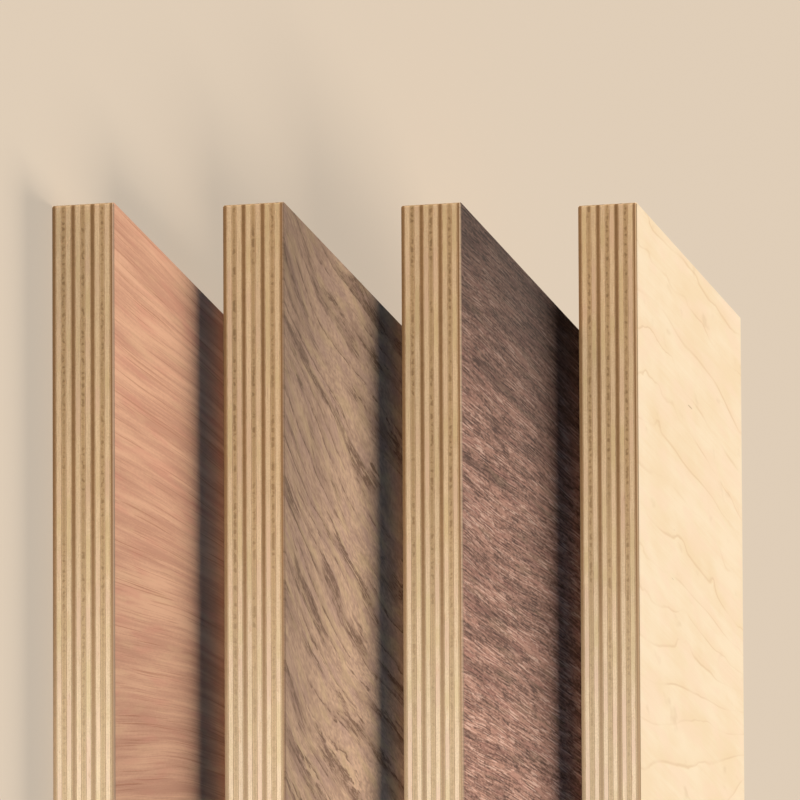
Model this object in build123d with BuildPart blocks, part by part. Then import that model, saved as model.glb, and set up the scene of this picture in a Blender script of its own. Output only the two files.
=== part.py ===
from build123d import *

import os

# Four veneered plywood sheets, lying face up in a stepped stack.
# Millimetres. X runs along the front edges, Y goes back from them and Z is up.
# The origin is the middle of the bottom sheet's underside.

# Every sheet's front edge, sawn to one length
FRONT_EDGE = 305.0

# How much of each veneer lies open in front of the sheet above. The back edges
# are flush, so each sheet is that much deeper than the one it carries
CHERRY_SHOWN = 138.0
OAK_SHOWN = 156.0
WALNUT_SHOWN = 164.0
MAPLE_SHOWN = 152.0

# How far each sheet lies to the left of the one under it
OAK_SLIDE = 32.0
WALNUT_SLIDE = 36.0
MAPLE_SLIDE = 38.0

# The lay-up of a sheet, from the underside up: a back ply, the inner plies, a
# thin ply that carries the veneer, and the face veneer
BACK_PLY = 1.2
INNER_PLY = 1.4
INNER_PLIES = 11
CARRIER_PLY = 0.8
FACE_VENEER = 0.6

# The sawn corners are barely rounded, and the outer arrises are sanded off
CORNER_RADIUS = 0.8
FACE_ARRIS = 0.2
BACK_ARRIS = 0.35

# The sheets from the bottom up: face wood, open part of the veneer and slide
STACK = (
    ("cherry", CHERRY_SHOWN, 0.0),
    ("oak", OAK_SHOWN, OAK_SLIDE),
    ("walnut", WALNUT_SHOWN, WALNUT_SLIDE),
    ("maple", MAPLE_SHOWN, MAPLE_SLIDE),
)
STACK_DEPTH = sum(shown for wood, shown, slide in STACK)

PLY_THICKNESSES = (BACK_PLY, *[INNER_PLY] * INNER_PLIES, CARRIER_PLY)


def make_layer(name, depth, left, underside, thickness, arris=0.0, arris_side=Axis.Z):
    """One layer of a sheet, with its back edge flush with the stack's."""
    middle = (left, (STACK_DEPTH - depth) / 2, underside)
    with BuildPart() as layer:
        with BuildSketch(Plane(middle)):
            RectangleRounded(FRONT_EDGE, depth, CORNER_RADIUS)
        extrude(amount=thickness)
        if arris:
            outer_face = layer.faces().sort_by(arris_side)[-1]
            chamfer(outer_face.edges(), arris)
    layer.part.label = name
    export_step(layer.part, f"parts/{name}.step")


def make_sheet(wood, depth, left, underside):
    """All the layers of one sheet. Returns the height of its veneered face."""
    level = underside
    for number, thickness in enumerate(PLY_THICKNESSES, start=1):
        is_back = number == 1
        make_layer(
            f"{wood}_ply_{number:02d}",
            depth,
            left,
            level,
            thickness,
            arris=BACK_ARRIS if is_back else 0.0,
            arris_side=-Axis.Z,
        )
        level += thickness
    make_layer(f"{wood}_face_veneer", depth, left, level, FACE_VENEER, arris=FACE_ARRIS)
    return level + FACE_VENEER


os.makedirs("parts", exist_ok=True)

depth, left, level = STACK_DEPTH, 0.0, 0.0
for wood, shown, slide in STACK:
    left -= slide
    level = make_sheet(wood, depth, left, level)
    depth -= shown
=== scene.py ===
"""Finishes a stepped stack of veneered plywood sheets: sawn edges, four face woods and the stage."""

import math

import bpy
from mathutils import Matrix, Vector


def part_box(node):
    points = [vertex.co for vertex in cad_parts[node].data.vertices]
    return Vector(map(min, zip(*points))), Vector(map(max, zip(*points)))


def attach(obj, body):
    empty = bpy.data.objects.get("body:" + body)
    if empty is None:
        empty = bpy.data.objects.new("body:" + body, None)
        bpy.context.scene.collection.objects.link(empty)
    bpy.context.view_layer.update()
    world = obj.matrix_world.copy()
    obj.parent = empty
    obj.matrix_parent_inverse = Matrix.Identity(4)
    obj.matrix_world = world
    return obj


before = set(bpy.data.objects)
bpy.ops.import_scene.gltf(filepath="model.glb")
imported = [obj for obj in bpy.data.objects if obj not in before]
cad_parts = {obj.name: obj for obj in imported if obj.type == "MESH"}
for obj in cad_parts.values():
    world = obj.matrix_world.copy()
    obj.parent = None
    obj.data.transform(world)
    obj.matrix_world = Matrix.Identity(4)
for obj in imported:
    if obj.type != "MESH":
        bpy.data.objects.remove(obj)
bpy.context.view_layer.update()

bl_info = {
    "name": "Plywood stack finish",
    "version": (1, 0, 0),
    "blender": (4, 5, 0),
    "location": "View3D > Sidebar > Plywood",
    "description": "Dresses a stack of veneered plywood sheets and sets it on a plain stage",
    "category": "Object",
}

# From the bottom of the stack up
WOODS = ("cherry", "oak", "walnut", "maple")
PLY_COUNT = 13
MM = 0.001


def node_size(node):
    """A node's lengths along X, Y and Z, in metres."""
    low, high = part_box(node)
    return Vector(high) - Vector(low)


SHEET_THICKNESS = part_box("cherry_face_veneer")[1][2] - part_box("cherry_ply_01")[0][2]
BACK_PLY = node_size("cherry_ply_01").z
INNER_PLY = node_size("cherry_ply_02").z

# How far each sheet lies to the left of the one below, on average
SLIDE_STEP = (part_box("cherry_ply_01")[0][0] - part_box("maple_ply_01")[0][0]) / (len(WOODS) - 1)

# How far apart the patterns of neighbouring plies are cut, and how many such steps lie between
# sheets, which is more than a sheet has plies
PLY_SEED_STEP = 3.7
SHEET_SEED_STEP = 17.0

# Painted light: how much lighter a sheet's cut is painted at the right end of the front edge, in red, green
# and blue
RIGHT_END_PAINTED_LIGHT = (0.3, 0.47, 0.7)

# Share of its full length along an axis that a face's normal needs for the face to count as square
# to the axis: not at all below the first and wholly above the second
SQUARE_TO_AXIS = (0.55, 0.65)

# The shine left on bare sanded wood
DULL_SHINE = 0.01

# Points on a rounded corner, and sides of a raised fibre
CORNER_POINTS = 3
FIBRE_SIDES = 5

# The camera's film, in millimetres, and how near and far it sees, in metres
SENSOR_WIDTH = 36.0
NEAREST_SEEN = 0.1
FURTHEST_SEEN = 100.0


def srgb(red, green, blue):
    """A colour written as 0 to 255, as the linear numbers that a shader takes."""
    shares = (channel / 255 for channel in (red, green, blue))
    return tuple(s / 12.92 if s <= 0.04045 else ((s + 0.055) / 1.055) ** 2.4 for s in shares)


# Node building

class Reading:
    """A number, colour or vector in a node tree. Arithmetic on it adds Math nodes."""

    def __init__(self, nodes, socket):
        self.nodes = nodes
        self.socket = socket

    def math(self, operation, *values):
        """Adds a Math node on these values."""
        return self.nodes.node("ShaderNodeMath", {"operation": operation}, dict(enumerate(values)))

    def __add__(self, other):
        return self.math("ADD", self, other)

    def __radd__(self, other):
        return self.math("ADD", other, self)

    def __sub__(self, other):
        return self.math("SUBTRACT", self, other)

    def __rsub__(self, other):
        return self.math("SUBTRACT", other, self)

    def __mul__(self, other):
        return self.math("MULTIPLY", self, other)

    def __rmul__(self, other):
        return self.math("MULTIPLY", other, self)

    def __truediv__(self, other):
        return self.math("DIVIDE", self, other)

    def __rtruediv__(self, other):
        return self.math("DIVIDE", other, self)

    def __pow__(self, other):
        return self.math("POWER", self, other)

    def __rpow__(self, other):
        return self.math("POWER", other, self)

    def __mod__(self, other):
        return self.math("FLOORED_MODULO", self, other)

    def __rmod__(self, other):
        return self.math("FLOORED_MODULO", other, self)

    def __abs__(self):
        return self.math("ABSOLUTE", self)

    def floor(self):
        return self.math("FLOOR", self)

    def fraction(self):
        return self.math("FRACT", self)

    def above(self, limit):
        """1 above the limit and 0 up to it."""
        return self.math("GREATER_THAN", self, limit)

    def capped(self, limit):
        """Itself up to the limit, and the limit above."""
        return self.math("MINIMUM", self, limit)

    def levelled(self, limit, easing):
        """Itself well below the limit and the limit well above it, with a bend of this easing between."""
        return self.math("SMOOTH_MIN", self, limit, easing)

    def rise(self, low, high):
        """0 below low and 1 above high, smooth between. Falls instead where high is the lower one."""
        limits = {"Value": self, "From Min": low, "From Max": high}
        return self.nodes.node("ShaderNodeMapRange", {"interpolation_type": "SMOOTHSTEP"}, limits)


class Nodes:
    """A node tree under construction."""

    def __init__(self, tree):
        self.tree = tree
        self.tree.nodes.clear()

    def feed(self, socket, value):
        """Links a reading to a socket, or sets a plain value on it."""
        if isinstance(value, Reading):
            self.tree.links.new(value.socket, socket)
        elif socket.type == "RGBA" and len(value) == 3:
            socket.default_value = (*value, 1.0)
        else:
            socket.default_value = value

    def node(self, kind, settings=None, inputs=None, output=0):
        """Adds a node: its settings first, then its sockets by name or number. Returns one output."""
        made = self.tree.nodes.new(kind)
        for name, value in (settings or {}).items():
            setattr(made, name, value)
        for name, value in (inputs or {}).items():
            self.feed(made.inputs[name], value)
        return Reading(self, made.outputs[output]) if made.outputs else None

    def vector(self, x, y, z):
        return self.node("ShaderNodeCombineXYZ", None, {"X": x, "Y": y, "Z": z})

    def parts(self, vector):
        """A vector's x, y and z."""
        return [self.node("ShaderNodeSeparateXYZ", None, {0: vector}, output=axis) for axis in "XYZ"]

    def streaks(self, across, along, width, length, seed, detail=2.0):
        """Smooth noise about 0.5, in streaks of this width across the grain and this length along it.

        The seed is the noise's third coordinate, a number or a reading, and picks the pattern.
        """
        place = self.vector(across / width, along / length, seed)
        inputs = {"Vector": place, "Scale": 1.0, "Detail": detail, "Roughness": 0.5}
        return self.node("ShaderNodeTexNoise", {"noise_dimensions": "3D"}, inputs)

    def seen(self):
        """1 for what is looked at, straight, mirrored or through glass, and 0 for light on the way."""
        straight, mirrored, through = (self.node("ShaderNodeLightPath", output=f"Is {kind} Ray")
                                       for kind in ("Camera", "Glossy", "Transmission"))
        return (straight + mirrored + through).capped(1.0)


class Finish(Nodes):
    """The material of one kind of wood, paint or glue."""

    def __init__(self, name):
        self.material = bpy.data.materials.new(name)
        self.material.use_nodes = True
        super().__init__(self.material.node_tree)

    def mix(self, factor, first, second, blend="MIX"):
        """The second colour over the first by factor."""
        settings = {"data_type": "RGBA", "blend_type": blend}
        return self.node("ShaderNodeMix", settings, {0: factor, 6: first, 7: second}, output=2)

    def scale(self, colour, share):
        """The colour times a number."""
        return self.mix(1.0, colour, self.vector(share, share, share), blend="MULTIPLY")

    def place_mm(self, corner):
        """Object position in millimetres from a corner, as x, y and z."""
        where = self.node("ShaderNodeTexCoord", output="Object")
        start = tuple(-c / MM for c in corner)
        inputs = {"Vector": where, "Location": start, "Scale": (1 / MM, 1 / MM, 1 / MM)}
        return self.parts(self.node("ShaderNodeMapping", {"vector_type": "POINT"}, inputs))

    def outlook(self, axis):
        """How much a face looks along the axis, from -1 to 1."""
        normal = self.node("ShaderNodeNewGeometry", output="Normal")
        return self.node("ShaderNodeSeparateXYZ", None, {0: normal}, output=axis)

    def facing(self, axis):
        """1 on faces square to the axis and 0 on the others."""
        return abs(self.outlook(axis)).rise(*SQUARE_TO_AXIS)

    def surface(self, colour, roughness, height, depth):
        """Ends the tree in a dull surface. The height is bumped by depth, in metres."""
        bump = {"Height": height, "Distance": depth, "Strength": 1.0}
        normal = self.node("ShaderNodeBump", None, bump)
        shader = self.node("ShaderNodeBsdfPrincipled", None, {
            "Base Color": colour, "Roughness": roughness, "Specular IOR Level": DULL_SHINE, "Normal": normal})
        self.node("ShaderNodeOutputMaterial", None, {"Surface": shader})
        return self.material


def wear(node, material):
    """Gives a CAD node its material, over any that it came with."""
    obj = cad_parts[node]
    obj.data.materials.clear()
    obj.data.materials.append(material)


# Face woods. Places, widths and lengths are in millimetres, x from the veneer's left end and y from
# its front edge, and the grain runs along y. The last factors of each face wood's colour are painted
# light and shade: the slow lightening and darkening read off along x and y

def cherry_finish(look):
    """Long grain that draws together towards the back, with fine dark veins."""
    finish = Finish("cherry_veneer")
    x, y, _ = finish.place_mm(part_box("cherry_face_veneer")[0])
    drift_reach = 5.0
    fan_per_mm = 0.0014
    fan_stops_at = 180.0
    drift = finish.streaks(x, y, width=38.0, length=140.0, seed=3.1, detail=1.0) * drift_reach
    fan = y.levelled(fan_stops_at, easing=120.0) * fan_per_mm
    across = x * (fan + 1.0) + drift

    band = finish.streaks(across, y, width=6.0, length=90.0, seed=1.7, detail=1.0)
    streak = finish.streaks(across, y, width=2.0, length=90.0, seed=5.2, detail=3.0)
    fibre = finish.streaks(across, y, width=0.5, length=44.0, seed=9.4)
    speck = finish.streaks(across, y, width=0.6, length=3.0, seed=6.1, detail=1.0)
    tone = band * 0.34 + streak * 0.39 + fibre * 0.18 + speck * 0.09
    blush = finish.streaks(across, y, width=4.5, length=40.0, seed=7.7).rise(0.5, 0.7)
    honey = finish.streaks(across, y, width=4.0, length=36.0, seed=4.4).rise(0.54, 0.72)
    vein = finish.streaks(across, y, width=0.8, length=90.0, seed=2.2, detail=1.0).rise(0.61, 0.71)
    line = finish.streaks(across, y, width=0.42, length=40.0, seed=8.8, detail=1.0).rise(0.61, 0.69)

    colour = finish.mix(tone.rise(0.38, 0.62), look.cherry_dark, look.cherry_light)
    colour = finish.mix(blush * 0.4, colour, look.cherry_blush)
    colour = finish.mix(honey * 0.3, colour, look.cherry_honey)
    colour = finish.mix(vein * 0.45, colour, look.cherry_vein)
    colour = finish.mix(line * 0.28, colour, look.cherry_line)
    # Painted light and shade: lighter at the left end, darker towards the right end
    painted_light_along = 1.07 - x.rise(30.0, 190.0) * 0.28
    colour = finish.scale(colour, painted_light_along)
    colour = finish.mix(finish.facing("Y") * 0.8, colour, look.cherry_edge)
    return finish.surface(colour, roughness=0.8, height=tone - vein * 0.3, depth=0.0001)


def oak_finish(look):
    """Broken growth rings and ragged bands of open pores, which curve near the front edge."""
    finish = Finish("oak_veneer")
    x, y, _ = finish.place_mm(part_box("oak_face_veneer")[0])
    curve_reach = 34.0
    curve_length = 90.0
    wander_reach = 24.0
    band_pitch = 17.0
    ring_pitch = 6.0
    curve = (math.e ** (y / -curve_length) - 1.0) * -curve_reach
    wander = finish.streaks(x, y, width=40.0, length=106.0, seed=4.3, detail=1.0) * wander_reach
    across = x - curve + wander

    finger = finish.streaks(across, y, width=3.0, length=26.0, seed=2.9, detail=3.0)
    ragged = finish.streaks(across, y, width=1.2, length=8.0, seed=8.3, detail=3.0)
    saw = ((across + finger * 14.0 + ragged * 9.0) / band_pitch).fraction()
    patch = finish.streaks(across, y, width=9.0, length=44.0, seed=7.1, detail=1.0)
    patch = (patch + x.rise(80.0, 150.0) * 0.07).rise(0.42, 0.58)
    band = saw.rise(0.0, 0.1) * saw.rise(0.6, 0.2) * patch
    ring = ((across + finger * 6.0 + ragged * 2.0) / ring_pitch).fraction()
    broken = finish.streaks(across, y, width=1.0, length=4.4, seed=1.3).rise(0.36, 0.56)
    lasting = finish.streaks(across, y, width=6.0, length=70.0, seed=3.9, detail=1.0).rise(0.44, 0.6)
    line = ring.rise(0.82, 0.93) * ring.rise(1.0, 0.94) * broken * lasting
    halo = ring.rise(0.3, 0.92) * ring.rise(1.0, 0.96) * lasting

    dots = finish.streaks(across, y, width=0.6, length=3.0, seed=6.4)
    dashes = finish.streaks(across, y, width=0.55, length=9.0, seed=1.3, detail=1.0)
    pores = (dots * 0.5 + dashes * 0.5 + band * 0.12).rise(0.56, 0.66)
    sliver = finish.streaks(across, y, width=0.7, length=24.0, seed=3.6, detail=1.0).rise(0.58, 0.72)
    cloud = finish.streaks(across, y, width=7.0, length=26.0, seed=5.9, detail=3.0)
    mottle = finish.streaks(across, y, width=1.0, length=3.0, seed=3.7)
    fibre = finish.streaks(across, y, width=1.0, length=18.0, seed=1.9, detail=1.0)
    tone = cloud * 0.44 + mottle * 0.5 + fibre * 0.06
    rosy = finish.streaks(across, y, width=6.0, length=24.0, seed=9.3, detail=3.0).rise(0.46, 0.64)
    straw = finish.streaks(across, y, width=5.0, length=22.0, seed=4.9, detail=3.0).rise(0.48, 0.66)

    colour = finish.mix(tone.rise(0.34, 0.66), look.oak_dark, look.oak_light)
    colour = finish.mix(rosy * 0.4, colour, look.oak_rosy)
    colour = finish.mix(straw * 0.4, colour, look.oak_straw)
    colour = finish.mix(halo * 0.4, colour, look.oak_halo)
    colour = finish.mix(band * (mottle.rise(0.4, 0.6) * 0.45 + 0.35), colour, look.oak_band)
    colour = finish.mix(sliver * (band * 0.3 + 0.12), colour, look.oak_sliver)
    colour = finish.mix(pores * (band * 0.5 + 0.12), colour, look.oak_pore)
    colour = finish.mix(line * 0.75, colour, look.oak_line)
    # Painted light and shade: darker at the left end and along the front edge, lighter towards the right end
    # and a little darker again further back
    painted_light_along = x.rise(60.0, 180.0) * 0.19 - x.rise(90.0, 0.0) * 0.22 + 1.0
    painted_light_back = y.rise(-10.0, 100.0) * 0.42 - y.rise(90.0, 200.0) * 0.2 + 0.75
    colour = finish.scale(colour, painted_light_along * painted_light_back)
    colour = finish.mix(finish.facing("Y") * 0.6, colour, look.oak_edge)
    return finish.surface(colour, roughness=0.85, height=tone * 0.4 - pores * 0.6 - line, depth=0.00012)


def walnut_finish(look):
    """Fine short-pored grain with pale glints, with painted shade at the left end."""
    finish = Finish("walnut_veneer")
    x, y, _ = finish.place_mm(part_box("walnut_face_veneer")[0])
    wander_reach = 8.0
    fan_per_mm = 0.0006
    wander = finish.streaks(x, y, width=50.0, length=140.0, seed=7.3, detail=1.0) * wander_reach
    across = x * (y * fan_per_mm + 1.0) + wander

    zone = finish.streaks(across, y, width=5.0, length=70.0, seed=2.1)
    streak = finish.streaks(across, y, width=1.6, length=36.0, seed=4.6)
    thread = finish.streaks(across, y, width=0.5, length=20.0, seed=6.9, detail=1.0)
    spark = finish.streaks(across, y, width=0.6, length=2.8, seed=9.7, detail=1.0)
    tone = zone * 0.32 + streak * 0.18 + thread * 0.28 + spark * 0.22
    ruddy = finish.streaks(across, y, width=3.0, length=40.0, seed=3.3).rise(0.5, 0.68)
    olive = finish.streaks(across, y, width=3.4, length=36.0, seed=5.8).rise(0.56, 0.7)
    glint = finish.streaks(across, y, width=0.42, length=15.0, seed=8.2, detail=0.0)
    glint = (glint * 0.8 + spark * 0.2).rise(0.56, 0.64)
    pores = finish.streaks(across, y, width=0.4, length=13.0, seed=1.1, detail=0.0)
    pores = (pores * 0.8 + spark * 0.2).rise(0.42, 0.34)

    colour = finish.mix(tone.rise(0.4, 0.6), look.walnut_dark, look.walnut_light)
    colour = finish.mix(ruddy * 0.35, colour, look.walnut_ruddy)
    colour = finish.mix(olive * 0.3, colour, look.walnut_olive)
    colour = finish.mix(glint * (zone.rise(0.4, 0.6) * 0.5 + 0.2), colour, look.walnut_glint)
    colour = finish.mix(pores * (zone.rise(0.6, 0.4) * 0.35 + 0.4), colour, look.walnut_pore)
    # Painted light and shade: much darker at the left end, lighter towards the right end, darker towards the
    # back
    painted_light_along = x.rise(90.0, 170.0) * 0.3 - x.rise(80.0, -5.0) * 0.75 + 1.0
    painted_light_back = 1.0 - y.rise(50.0, 115.0) * 0.18
    colour = finish.scale(colour, painted_light_along * painted_light_back)
    colour = finish.mix(finish.facing("Y") * 0.7, colour, look.walnut_edge)
    return finish.surface(colour, roughness=0.82, height=tone * 0.6 - pores, depth=0.00015)


def maple_finish(look):
    """Pale satin wood with thin, wandering growth lines and a few mineral marks."""
    finish = Finish("maple_veneer")
    x, y, _ = finish.place_mm(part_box("maple_face_veneer")[0])
    line_pitch = 13.0
    swell_reach = 18.0
    calm_jag_reach = 0.6
    wild_jag_reach = 6.0
    lean = 0.09
    left_bow = 0.00083
    bow_loss = 0.0022
    bow = left_bow - x.rise(95.0, 150.0) * bow_loss
    course = y * (y * bow - lean)
    swell = finish.streaks(x, y, width=34.0, length=90.0, seed=2.4, detail=1.0) * swell_reach
    wild = finish.streaks(x, y, width=18.0, length=40.0, seed=8.6, detail=1.0).rise(0.5, 0.7)
    jag_reach = wild_jag_reach * wild + calm_jag_reach
    jag = finish.streaks(x, y, width=5.0, length=13.0, seed=6.6) * jag_reach
    saw = ((x - course + swell + jag) / line_pitch).fraction()
    line = saw.rise(0.9, 0.965) * saw.rise(1.0, 0.965)
    fade = saw.rise(0.5, 0.98)
    strength = finish.streaks(x, y, width=14.0, length=40.0, seed=9.1, detail=1.0).rise(0.36, 0.66)

    satin = finish.streaks(x, y, width=1.0, length=50.0, seed=3.3, detail=3.0)
    cloud = finish.streaks(x, y, width=12.0, length=40.0, seed=5.5, detail=3.0)
    tone = satin * 0.25 + cloud * 0.75
    rosy = finish.streaks(x, y, width=8.0, length=30.0, seed=1.9).rise(0.46, 0.64)
    dusk = finish.streaks(x, y, width=7.0, length=18.0, seed=4.7).rise(0.64, 0.78)
    mark = finish.streaks(x, y, width=1.6, length=11.0, seed=7.4, detail=0.0).rise(0.88, 0.92)

    colour = finish.mix(tone.rise(0.36, 0.64), look.maple_dark, look.maple_light)
    colour = finish.mix(rosy * 0.55, colour, look.maple_rosy)
    colour = finish.mix(fade * strength * 0.3, colour, look.maple_fade)
    colour = finish.mix(line * (strength * 0.36 + 0.05), colour, look.maple_line)
    colour = finish.mix(dusk * 0.35, colour, look.maple_dusk)
    colour = finish.mix(mark * 0.6, colour, look.maple_mark)
    colour = finish.mix(finish.facing("Y") * 0.85, colour, look.maple_edge)
    return finish.surface(colour, roughness=0.78, height=satin, depth=0.00005)


# Sawn plies

def ply_place(z):
    """The number of the sheet, a seed that differs from ply to ply, and how far up its ply a point lies."""
    sheet = (z / (SHEET_THICKNESS / MM)).floor()
    ply = (z % (SHEET_THICKNESS / MM) - BACK_PLY / MM) / (INNER_PLY / MM)
    return sheet, (ply.floor() + sheet * SHEET_SEED_STEP) * PLY_SEED_STEP, ply.fraction()


def ply_finish(look, name, fibres_along, core_colour, border, bead_share):
    """A birch ply. Its fibres run along X or Y, and show cut across on the faces square to them.

    Sawn across, it turns to the core's colour over the border, two shares of the ply's thickness.
    The beads are dark clusters of pores along its middle.
    """
    finish = Finish(name)
    x, y, z = finish.place_mm(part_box("cherry_ply_01")[0])
    sheet, seed, up = ply_place(z)
    along, across = (x, y) if fibres_along == "X" else (y, x)
    outer, inner = border
    core = up.rise(outer, inner) * up.rise(1.0 - outer, 1.0 - inner)
    heart = up.rise(0.04, 0.36) * up.rise(0.96, 0.64)
    back = finish.outlook("Y").rise(*SQUARE_TO_AXIS)
    from_left_end = x + sheet * SLIDE_STEP / MM
    # Painted shade at the left end and painted light at the right end, on all faces but the back ones
    left = from_left_end.rise(110.0, 0.0) * (1.0 - back)
    right = from_left_end.rise(70.0, 190.0) * (1.0 - back)

    grit = finish.streaks(across, along, width=0.4, length=20.0, seed=z / 0.4 + seed)
    stretch = finish.streaks(across, seed, width=16.0, length=1.0, seed=4.0, detail=1.0).rise(0.3, 0.5)
    bead = finish.streaks(across, along, width=1.3, length=30.0, seed=z / 1.5 + seed, detail=1.0)
    # Beads and core borders fade towards the right end, along with the painted light there
    bead = bead.rise(0.46, 0.62) * heart * stretch * (1.0 - right * 0.7)
    cut = finish.mix(core * (1.0 - right * 0.35), look.ply_border, core_colour)
    cut = finish.mix(grit.rise(0.3, 0.7) * 0.2, cut, look.ply_speck)
    cut = finish.mix(bead * bead_share, cut, look.ply_speck)

    streak = finish.streaks(across, along, width=1.0, length=7.0, seed=z / 0.35 + seed, detail=3.0)
    grain = finish.streaks(across, along, width=0.5, length=0.6, seed=z / 0.4 + seed, detail=1.0)
    hue = finish.streaks(across, along, width=8.0, length=22.0, seed=seed)
    fibres = (streak * 0.55 + grain * 0.45).rise(0.38, 0.64)
    lengthwise = finish.mix(fibres * 0.7, look.ply_pale, look.ply_streak)
    lengthwise = finish.mix(hue.rise(0.5, 0.64) * 0.6, lengthwise, look.ply_flush)
    lengthwise = finish.mix(hue.rise(0.48, 0.36) * 0.45, lengthwise, look.ply_olive)

    colour = finish.mix(finish.facing(fibres_along), lengthwise, cut)
    # Random tone, less painted shade at the left end and on the back faces, and painted light at the right
    # end
    shade = (finish.streaks(across, along, width=30.0, length=60.0, seed=seed) - 0.5) * 0.3 + 1.0
    shade = shade - left * 0.2 - back * look.back_painted_shade
    cast = finish.vector(*(shade + right * gain for gain in RIGHT_END_PAINTED_LIGHT))
    colour = finish.mix(1.0, colour, cast, blend="MULTIPLY")
    return finish.surface(colour, roughness=0.82, height=grit - bead * 0.6 + streak * 0.5, depth=0.0001)


def dress_plies(look):
    """Odd plies have their fibres along Y and even ones along X. Every second odd one is dark."""
    dark = ply_finish(look, "dark_ply", "Y", look.ply_dark, border=(0.04, 0.26), bead_share=0.2)
    speckled = ply_finish(look, "speckled_ply", "Y", look.ply_speckled, border=(0.0, 0.34), bead_share=0.5)
    pale = ply_finish(look, "pale_ply", "X", look.ply_speckled, border=(0.0, 0.34), bead_share=0.45)
    carrier = ply_finish(look, "carrier_ply", "Y", look.ply_dark, border=(0.08, 0.3), bead_share=0.0)
    for wood in WOODS:
        for number in range(1, PLY_COUNT):
            if number % 2 == 0:
                material = pale
            else:
                material = dark if number % 4 == 1 else speckled
            wear(f"{wood}_ply_{number:02d}", material)
        wear(f"{wood}_ply_{PLY_COUNT}", carrier)


# Small pieces on the sawn edges

class Growth(Nodes):
    """A geometry tree with named inputs for its sizes, run once on the undersides of the sheets."""

    def __init__(self, name):
        self.group = bpy.data.node_groups.new(name, "GeometryNodeTree")
        super().__init__(self.group)
        self.group.interface.new_socket("Geometry", in_out="INPUT", socket_type="NodeSocketGeometry")
        self.group.interface.new_socket("Geometry", in_out="OUTPUT", socket_type="NodeSocketGeometry")
        self.source = self.tree.nodes.new("NodeGroupInput")
        self.values = {}

    def size(self, name, value, kind="Float"):
        """Adds a named input and returns it."""
        socket = self.group.interface.new_socket(name, in_out="INPUT", socket_type=f"NodeSocket{kind}")
        self.values[socket.identifier] = value
        return Reading(self, self.source.outputs[name])

    def outlines(self, radius):
        """The rounded outline of every sheet, at the height of its underside."""
        sheets = Reading(self, self.source.outputs["Geometry"])
        curves = self.node("GeometryNodeMeshToCurve", {"mode": "FACES"}, {"Mesh": sheets})
        rounding = {"Curve": curves, "Radius": radius, "Count": CORNER_POINTS}
        return self.node("GeometryNodeFilletCurve", {"mode": "POLY"}, rounding)

    def random(self, low, high, seed):
        inputs = {2: low, 3: high, "Seed": seed}
        return self.node("FunctionNodeRandomValue", {"data_type": "FLOAT"}, inputs, output=1)

    def grow(self, geometry, material, slot):
        """Ends the tree, bakes it to a plain mesh and hands that on as a piece of the stack."""
        geometry = self.node("GeometryNodeRealizeInstances", None, {"Geometry": geometry})
        geometry = self.node("GeometryNodeSetMaterial", None, {"Geometry": geometry, "Material": material})
        self.node("NodeGroupOutput", None, {0: geometry})
        corners = [corner for wood in WOODS for corner in sheet_corners(wood)]
        mesh = bpy.data.meshes.new(self.group.name)
        mesh.from_pydata(corners, [], [range(first, first + 4) for first in range(0, len(corners), 4)])
        piece = bpy.data.objects.new(self.group.name, mesh)
        bpy.context.collection.objects.link(piece)
        modifier = piece.modifiers.new(self.group.name, "NODES")
        modifier.node_group = self.group
        for identifier, value in self.values.items():
            modifier[identifier] = value
        evaluated = piece.evaluated_get(bpy.context.evaluated_depsgraph_get())
        piece.data = bpy.data.meshes.new_from_object(evaluated)
        piece.modifiers.clear()
        if not piece.data.polygons:
            raise RuntimeError(f"{self.group.name} came out empty")
        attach(piece, "root")


def sheet_corners(wood):
    """The corners of a sheet's underside, anticlockwise from above."""
    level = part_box(f"{wood}_ply_01")[0][2]
    (left, front, _), (right, back, _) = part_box(f"{wood}_ply_02")
    return [(left, front, level), (right, front, level), (right, back, level), (left, back, level)]


def glue_finish(look):
    """Glue-stained wood, broken by bare stretches."""
    finish = Finish("glue_line")
    x, y, z = finish.place_mm(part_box("cherry_ply_01")[0])
    gap = finish.streaks(x, y, width=3.0, length=3.0, seed=z / 1.4)
    colour = finish.mix(gap.rise(0.4, 0.62), look.ply_glue, look.ply_dark)
    return finish.surface(colour, roughness=0.7, height=gap, depth=0.00003)


def run_glue_lines(look, edge):
    """Thin ridges of glue between the plies, all round each sheet."""
    growth = Growth("glue_lines")
    ridge = growth.size("Line height", edge.glue_height)
    proud = growth.size("Stands proud", edge.glue_proud)
    loops = growth.outlines(growth.size("Corner radius", edge.corner_radius))

    # Half of a ridge's width stays in the wood
    section = growth.node("GeometryNodeCurvePrimitiveQuadrilateral", None, {
        "Width": proud * 2.0, "Height": ridge})
    loops = growth.node("GeometryNodeCurveToMesh", None, {
        "Curve": loops, "Profile Curve": section, "Fill Caps": False})
    pitch = growth.size("Ply thickness", INNER_PLY)
    first = growth.size("First line", BACK_PLY)
    column = growth.node("GeometryNodeMeshLine", {"mode": "OFFSET"}, {
        "Count": growth.size("Lines", PLY_COUNT - 1, kind="Int"),
        "Start Location": growth.vector(0.0, 0.0, first),
        "Offset": growth.vector(0.0, 0.0, pitch)})
    lines = growth.node("GeometryNodeInstanceOnPoints", None, {"Points": column, "Instance": loops})
    growth.grow(lines, glue_finish(look), "cross_grain_ply")


def fibre_finish(look):
    """The pale wood of a ply's fibres."""
    finish = Finish("raised_fibre")
    x, y, z = finish.place_mm(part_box("cherry_ply_01")[0])
    tint = finish.streaks(x, y, width=2.0, length=2.0, seed=z / 0.5, detail=1.0)
    colour = finish.mix(tint.rise(0.4, 0.6), look.ply_pale, look.ply_flush)
    return finish.surface(colour, roughness=0.85, height=tint, depth=0.00003)


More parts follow.
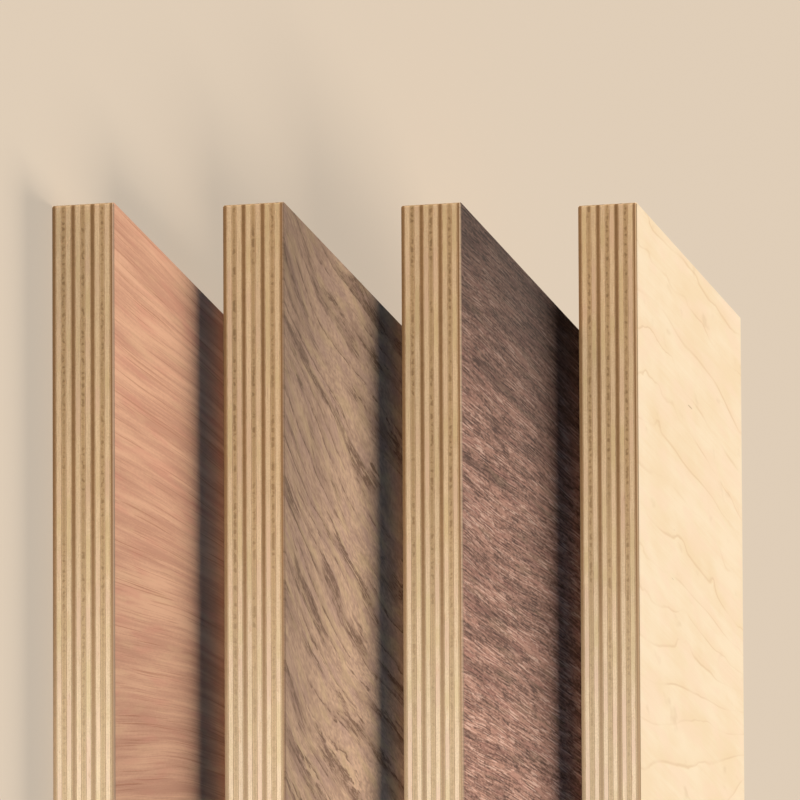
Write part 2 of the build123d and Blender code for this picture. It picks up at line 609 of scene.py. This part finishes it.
def raise_fibres(look, edge):
    """Slivers that the saw lifted from the plies whose fibres lie along each edge."""
    growth = Growth("raised_fibres")
    loops = growth.outlines(growth.size("Corner radius", edge.corner_radius))
    count = growth.size("Fibres", edge.fibre_count, kind="Int")
    points = growth.node("GeometryNodePoints", None, {"Count": count})
    any_sheet = {"mode": "FACTOR", "use_all_curves": True}
    sampling = {"Curves": loops, "Factor": growth.random(0.0, 1.0, seed=11)}
    on_edge = growth.node("GeometryNodeSampleCurve", any_sheet, sampling, output="Position")
    along = growth.node("GeometryNodeSampleCurve", any_sheet, sampling, output="Tangent")
    tangent_x, tangent_y, _ = growth.parts(along)

    # Of each pair of plies, one lies along the front and back edges and the other along the ends
    on_front = abs(tangent_x).rise(0.45, 0.55)
    pitch = growth.size("Ply thickness", INNER_PLY)
    first = growth.size("First line", BACK_PLY)
    pair = growth.random(0.0, PLY_COUNT // 2 - 0.001, seed=23).floor()
    level = first + pitch * (pair * 2.0 + 1.0 - on_front + growth.random(0.12, 0.88, seed=31))
    raised = {0: on_edge, 1: growth.vector(0.0, 0.0, level)}
    place = growth.node("ShaderNodeVectorMath", {"operation": "ADD"}, raised)
    points = growth.node("GeometryNodeSetPosition", None, {"Geometry": points, "Position": place})

    least_lift = growth.size("Least lift", edge.least_lift)
    most_lift = growth.size("Most lift", edge.most_lift)
    lift = growth.random(least_lift, most_lift, seed=47)
    reverse = growth.random(0.0, 1.0, seed=53).above(0.5) * 2.0 - 1.0
    aim = growth.vector(tangent_x * reverse + tangent_y * lift, tangent_y * reverse - tangent_x * lift,
                        growth.random(-0.04, 0.04, seed=61))
    turn = growth.node("FunctionNodeAlignRotationToVector", {"axis": "Z"}, {"Vector": aim})
    sliver = growth.node("GeometryNodeMeshCone", None, {
        "Vertices": FIBRE_SIDES, "Radius Top": 0.0,
        "Radius Bottom": growth.size("Fibre radius", edge.fibre_radius),
        "Depth": growth.size("Fibre length", edge.fibre_length)})
    stretch = growth.vector(1.0, 1.0, growth.random(0.4, 1.3, seed=71))
    fibres = growth.node("GeometryNodeInstanceOnPoints", None, {
        "Points": points, "Instance": sliver, "Rotation": turn, "Scale": stretch})
    growth.grow(fibres, fibre_finish(look), "long_grain_ply")


# Stage

def look_along(azimuth, elevation):
    """The way from a camera or lamp at this azimuth and elevation towards the object."""
    flat = math.cos(elevation)
    return -Vector((math.sin(azimuth) * flat, -math.cos(azimuth) * flat, math.sin(elevation)))


def set_camera(stage):
    """Aims the camera at the view's centre and rolls it."""
    forward = look_along(stage.view_azimuth, stage.view_elevation)
    level = forward.cross(Vector((0, 0, 1))).normalized()
    right = Matrix.Rotation(-stage.view_roll, 3, forward) @ level
    upward = right.cross(forward)
    turn = Matrix((right, upward, -forward)).transposed()
    place = Vector(stage.view_centre) - forward * stage.view_distance
    data = bpy.data.cameras.new("view_camera")
    data.lens = stage.lens
    data.sensor_width = SENSOR_WIDTH
    data.clip_start = NEAREST_SEEN
    data.clip_end = FURTHEST_SEEN
    camera = bpy.data.objects.new("view_camera", data)
    camera.matrix_world = Matrix.Translation(place) @ turn.to_4x4()
    bpy.context.collection.objects.link(camera)
    bpy.context.scene.camera = camera


def add_sun(name, azimuth, elevation, strength, width, colour=(1.0, 1.0, 1.0)):
    """A distant lamp, at an azimuth counted from the front. Its width softens the shadows."""
    data = bpy.data.lights.new(name, "SUN")
    data.energy = strength
    data.angle = width
    data.color = colour
    lamp = bpy.data.objects.new(name, data)
    lamp.rotation_euler = look_along(azimuth, elevation).to_track_quat("-Z", "Y").to_euler()
    bpy.context.collection.objects.link(lamp)


def add_lamps(stage):
    """The key lamp behind the stack, and low lamps that reach its front and its ends."""
    behind = math.radians(180)
    add_sun("key", behind, stage.key_elevation, stage.key_strength, stage.key_width, stage.key_colour)
    low_lamps = (("front", 0, stage.front_strength), ("left", -90, stage.side_strength),
                 ("right", 90, stage.side_strength))
    for name, side, strength in low_lamps:
        add_sun(name, math.radians(side), stage.low_elevation, strength, stage.low_width)


def set_world(stage):
    """Light from all round. Beyond the floor the camera sees the floor's colour."""
    world = bpy.data.worlds.new("studio")
    world.use_nodes = True
    nodes = Nodes(world.node_tree)
    room = nodes.node("ShaderNodeBackground", None, {
        "Color": stage.room_colour, "Strength": stage.room_light})
    wall = nodes.node("ShaderNodeBackground", None, {"Color": stage.floor_colour, "Strength": 1.0})
    both = nodes.node("ShaderNodeMixShader", None, {0: nodes.seen(), 1: room, 2: wall})
    nodes.node("ShaderNodeOutputWorld", None, {"Surface": both})
    bpy.context.scene.world = world


def lay_floor(stage):
    """A painted floor under the stack, whose shadows are lifted towards its plain colour."""
    half = stage.floor_width / 2
    mesh = bpy.data.meshes.new("floor")
    corners = [(-half, -half, 0), (half, -half, 0), (half, half, 0), (-half, half, 0)]
    mesh.from_pydata(corners, [], [(0, 1, 2, 3)])
    floor = bpy.data.objects.new("floor", mesh)
    finish = Finish("floor_paint")
    paint = finish.node("ShaderNodeBsdfDiffuse", None, {"Color": stage.floor_colour})
    plain = finish.node("ShaderNodeEmission", None, {"Color": stage.floor_colour})
    share = finish.seen() * stage.shadow_lift
    shader = finish.node("ShaderNodeMixShader", None, {0: share, 1: paint, 2: plain})
    finish.node("ShaderNodeOutputMaterial", None, {"Surface": shader})
    mesh.materials.append(finish.material)
    bpy.context.collection.objects.link(floor)


# Settings

def colour_setting(name, description, *rgb):
    return bpy.props.FloatVectorProperty(
        name=name, description=description, default=srgb(*rgb), size=3, min=0.0, max=1.0, subtype="COLOR")


def length_setting(name, description, metres):
    return bpy.props.FloatProperty(name=name, description=description, default=metres, unit="LENGTH")


def angle_setting(name, description, degrees):
    return bpy.props.FloatProperty(
        name=name, description=description, default=math.radians(degrees), subtype="ANGLE")


def share_setting(name, description, share):
    return bpy.props.FloatProperty(name=name, description=description, default=share, subtype="FACTOR")


def strength_setting(name, description, strength):
    return bpy.props.FloatProperty(name=name, description=description, default=strength)


class PlywoodLook(bpy.types.PropertyGroup):
    """Colours of the woods."""

    cherry_light: colour_setting("Cherry, light", "Pale streaks of the cherry veneer", 222, 168, 132)
    cherry_dark: colour_setting("Cherry, dark", "Dark streaks of the cherry veneer", 194, 138, 108)
    cherry_blush: colour_setting("Cherry, blush", "Rosy streaks of the cherry veneer", 208, 138, 112)
    cherry_honey: colour_setting("Cherry, honey", "Yellow streaks of the cherry veneer", 216, 172, 130)
    cherry_vein: colour_setting("Cherry, vein", "Long veins of the cherry veneer", 170, 108, 74)
    cherry_line: colour_setting("Cherry, line", "Hairlines of the cherry veneer", 158, 98, 66)
    cherry_edge: colour_setting("Cherry, edge", "Sawn edge of the cherry veneer", 166, 140, 114)

    oak_light: colour_setting("Oak, light", "Pale wood of the oak veneer", 196, 159, 128)
    oak_dark: colour_setting("Oak, dark", "Shaded wood of the oak veneer", 158, 124, 101)
    oak_rosy: colour_setting("Oak, rosy", "Rosy patches of the oak veneer", 168, 132, 116)
    oak_straw: colour_setting("Oak, straw", "Yellow patches of the oak veneer", 190, 160, 116)
    oak_halo: colour_setting("Oak, halo", "Wood beside the oak's growth rings", 138, 106, 82)
    oak_band: colour_setting("Oak, band", "Bands of open pores in the oak veneer", 116, 86, 66)
    oak_sliver: colour_setting("Oak, sliver", "Pale slivers of the oak veneer", 210, 176, 140)
    oak_pore: colour_setting("Oak, pores", "Open pores of the oak veneer", 96, 66, 46)
    oak_line: colour_setting("Oak, growth ring", "Growth rings of the oak veneer", 100, 70, 50)
    oak_edge: colour_setting("Oak, edge", "Sawn edge of the oak veneer", 150, 120, 92)

    walnut_light: colour_setting("Walnut, light", "Pale wood of the walnut veneer", 176, 129, 108)
    walnut_dark: colour_setting("Walnut, dark", "Dark wood of the walnut veneer", 106, 72, 58)
    walnut_ruddy: colour_setting("Walnut, ruddy", "Red streaks of the walnut veneer", 160, 106, 92)
    walnut_olive: colour_setting("Walnut, olive", "Green streaks of the walnut veneer", 128, 106, 80)
    walnut_glint: colour_setting("Walnut, glint", "Bright fibres of the walnut veneer", 216, 176, 154)
    walnut_pore: colour_setting("Walnut, pores", "Open pores of the walnut veneer", 66, 38, 30)
    walnut_edge: colour_setting("Walnut, edge", "Sawn edge of the walnut veneer", 204, 172, 138)

    maple_light: colour_setting("Maple, light", "Pale wood of the maple veneer", 255, 231, 195)
    maple_dark: colour_setting("Maple, dark", "Shaded wood of the maple veneer", 251, 223, 182)
    maple_rosy: colour_setting("Maple, rosy", "Rosy patches of the maple veneer", 255, 224, 190)
    maple_fade: colour_setting("Maple, fade", "Wood beside the maple's growth lines", 244, 210, 160)
    maple_line: colour_setting("Maple, growth line", "Growth lines of the maple veneer", 226, 186, 136)
    maple_dusk: colour_setting("Maple, dusk", "Dull patches of the maple veneer", 226, 192, 146)
    maple_mark: colour_setting("Maple, mark", "Mineral marks of the maple veneer", 186, 150, 96)
    maple_edge: colour_setting("Maple, edge", "Sawn edge of the maple veneer", 176, 138, 98)

    ply_pale: colour_setting("Ply, pale", "Ply sawn along its fibres", 218, 184, 142)
    ply_streak: colour_setting("Ply, streak", "Darker fibres of a pale ply", 196, 160, 120)
    ply_flush: colour_setting("Ply, flush", "Rosy patches of a pale ply", 210, 170, 136)
    ply_olive: colour_setting("Ply, olive", "Greenish patches of a pale ply", 200, 170, 118)
    ply_border: colour_setting("Ply, border", "Borders of a ply sawn across its fibres", 204, 168, 126)
    ply_speckled: colour_setting("Ply, speckled", "Ply sawn across its fibres", 181, 146, 103)
    ply_dark: colour_setting("Ply, dark", "Dense ply sawn across its fibres", 144, 107, 70)
    ply_speck: colour_setting("Ply, speck", "Open pores of a ply sawn across", 112, 80, 50)
    ply_glue: colour_setting("Ply, glue", "Wood stained by the glue beside it", 172, 138, 100)
    # Painted shade: share by which the colour of the plies' back faces is darkened, where the key lamp behind
    # the stack falls on them
    back_painted_shade: share_setting(
        "Back darkening", "Share by which the older cut along the back is darker", 0.44)


class PlywoodEdge(bpy.types.PropertyGroup):
    """Small relief on the sawn edges."""

    corner_radius: length_setting("Corner radius", "Rounding of a sheet's corners", 0.0008)
    glue_height: length_setting("Glue line", "Height of a glue line on the edge", 0.00012)
    glue_proud: length_setting("Glue proud", "How far a glue line stands out of the edge", 0.00003)
    fibre_count: bpy.props.IntProperty(name="Fibres", description="Raised fibres in all", default=1600)
    fibre_length: length_setting("Fibre length", "Length of a middling fibre", 0.0022)
    fibre_radius: length_setting("Fibre radius", "Radius of a fibre at its root", 0.00007)
    least_lift: share_setting("Least lift", "Slope of the fibre that is raised least", 0.03)
    most_lift: share_setting("Most lift", "Slope of the fibre that is raised most", 0.2)


class PlywoodStage(bpy.types.PropertyGroup):
    """Camera, lamps and floor."""

    lens: bpy.props.FloatProperty(name="Lens", description="Focal length", default=1200.0, unit="CAMERA")
    view_azimuth: angle_setting("View azimuth", "Camera's turn about the stack", 13.658)
    view_elevation: angle_setting("View elevation", "Camera's height over the floor", 12.106)
    view_roll: angle_setting("View roll", "Camera's roll, which sets the front edges upright", 86.802)
    view_distance: length_setting("View distance", "Camera to the middle of the view", 7.798)
    view_centre: bpy.props.FloatVectorProperty(
        name="View centre", description="Point in the middle of the view",
        default=(-0.16127, -0.01355, 0.036), size=3, subtype="XYZ", unit="LENGTH")

    key_strength: strength_setting("Key", "Lamp behind and above the stack", 7.45)
    key_colour: colour_setting("Key colour", "Colour of the key lamp", 255, 246, 233)
    key_width: angle_setting("Key width", "Width of the key lamp", 20.0)
    key_elevation: angle_setting("Key elevation", "Height of the key lamp", 22.0)
    front_strength: strength_setting("Front", "Low lamp before the stack", 2.9)
    side_strength: strength_setting("Sides", "Low lamps beside the stack", 2.3)
    low_elevation: angle_setting("Low elevation", "Height of the front and side lamps", 0.5)
    low_width: angle_setting("Low width", "Width of the front and side lamps", 1.0)
    room_light: strength_setting("Room", "Light from all round", 0.15)
    room_colour: colour_setting("Room colour", "Colour of the light from all round", 83, 180, 255)

    shadow_lift: share_setting(
        "Shadow lift", "Share of the floor's plain colour that the camera sees", 0.72)
    floor_colour: colour_setting("Floor", "Paint of the floor", 226, 208, 186)
    floor_width: length_setting("Floor width", "Side of the floor", 120.0)


# Operators

class PLYWOOD_OT_plies(bpy.types.Operator):
    """Finish the sawn plies of every sheet"""

    bl_idname = "plywood.plies"
    bl_label = "Finish plies"

    def execute(self, context):
        dress_plies(context.scene.plywood_look)
        return {"FINISHED"}


class PLYWOOD_OT_cherry(bpy.types.Operator):
    """Finish the cherry veneer"""

    bl_idname = "plywood.cherry"
    bl_label = "Finish cherry veneer"

    def execute(self, context):
        wear("cherry_face_veneer", cherry_finish(context.scene.plywood_look))
        return {"FINISHED"}


class PLYWOOD_OT_oak(bpy.types.Operator):
    """Finish the oak veneer"""

    bl_idname = "plywood.oak"
    bl_label = "Finish oak veneer"

    def execute(self, context):
        wear("oak_face_veneer", oak_finish(context.scene.plywood_look))
        return {"FINISHED"}


class PLYWOOD_OT_walnut(bpy.types.Operator):
    """Finish the walnut veneer"""

    bl_idname = "plywood.walnut"
    bl_label = "Finish walnut veneer"

    def execute(self, context):
        wear("walnut_face_veneer", walnut_finish(context.scene.plywood_look))
        return {"FINISHED"}


class PLYWOOD_OT_maple(bpy.types.Operator):
    """Finish the maple veneer"""

    bl_idname = "plywood.maple"
    bl_label = "Finish maple veneer"

    def execute(self, context):
        wear("maple_face_veneer", maple_finish(context.scene.plywood_look))
        return {"FINISHED"}


class PLYWOOD_OT_glue_lines(bpy.types.Operator):
    """Run the glue lines round every sheet"""

    bl_idname = "plywood.glue_lines"
    bl_label = "Run glue lines"

    def execute(self, context):
        run_glue_lines(context.scene.plywood_look, context.scene.plywood_edge)
        return {"FINISHED"}


class PLYWOOD_OT_fibres(bpy.types.Operator):
    """Raise fibres on the sawn edges of every sheet"""

    bl_idname = "plywood.fibres"
    bl_label = "Raise fibres"

    def execute(self, context):
        raise_fibres(context.scene.plywood_look, context.scene.plywood_edge)
        return {"FINISHED"}


class PLYWOOD_OT_stage(bpy.types.Operator):
    """Set the camera, the lamps, the room and the floor"""

    bl_idname = "plywood.stage"
    bl_label = "Set stage"

    def execute(self, context):
        stage = context.scene.plywood_stage
        context.scene.view_settings.view_transform = "Standard"
        set_camera(stage)
        add_lamps(stage)
        set_world(stage)
        lay_floor(stage)
        return {"FINISHED"}


class PLYWOOD_PT_panel(bpy.types.Panel):
    """Lists the stack's settings and steps in the sidebar"""

    bl_label = "Plywood stack"
    bl_idname = "PLYWOOD_PT_panel"
    bl_space_type = "VIEW_3D"
    bl_region_type = "UI"
    bl_category = "Plywood"

    def draw(self, context):
        scene = context.scene
        for settings in (scene.plywood_look, scene.plywood_edge, scene.plywood_stage):
            for name in settings.__annotations__:
                self.layout.prop(settings, name)
        for step in STEPS:
            self.layout.operator(step.bl_idname)


STEPS = (
    PLYWOOD_OT_plies, PLYWOOD_OT_cherry, PLYWOOD_OT_oak, PLYWOOD_OT_walnut, PLYWOOD_OT_maple,
    PLYWOOD_OT_glue_lines, PLYWOOD_OT_fibres, PLYWOOD_OT_stage,
)
CLASSES = (PlywoodLook, PlywoodEdge, PlywoodStage, *STEPS, PLYWOOD_PT_panel)


def register():
    for item in CLASSES:
        bpy.utils.register_class(item)
    bpy.types.Scene.plywood_look = bpy.props.PointerProperty(type=PlywoodLook)
    bpy.types.Scene.plywood_edge = bpy.props.PointerProperty(type=PlywoodEdge)
    bpy.types.Scene.plywood_stage = bpy.props.PointerProperty(type=PlywoodStage)


def unregister():
    del bpy.types.Scene.plywood_stage
    del bpy.types.Scene.plywood_edge
    del bpy.types.Scene.plywood_look
    for item in reversed(CLASSES):
        bpy.utils.unregister_class(item)


def main():
    register()
    bpy.ops.plywood.plies()
    bpy.ops.plywood.cherry()
    bpy.ops.plywood.oak()
    bpy.ops.plywood.walnut()
    bpy.ops.plywood.maple()
    bpy.ops.plywood.glue_lines()
    bpy.ops.plywood.fibres()
    bpy.ops.plywood.stage()


if __name__ == "__main__":
    main()
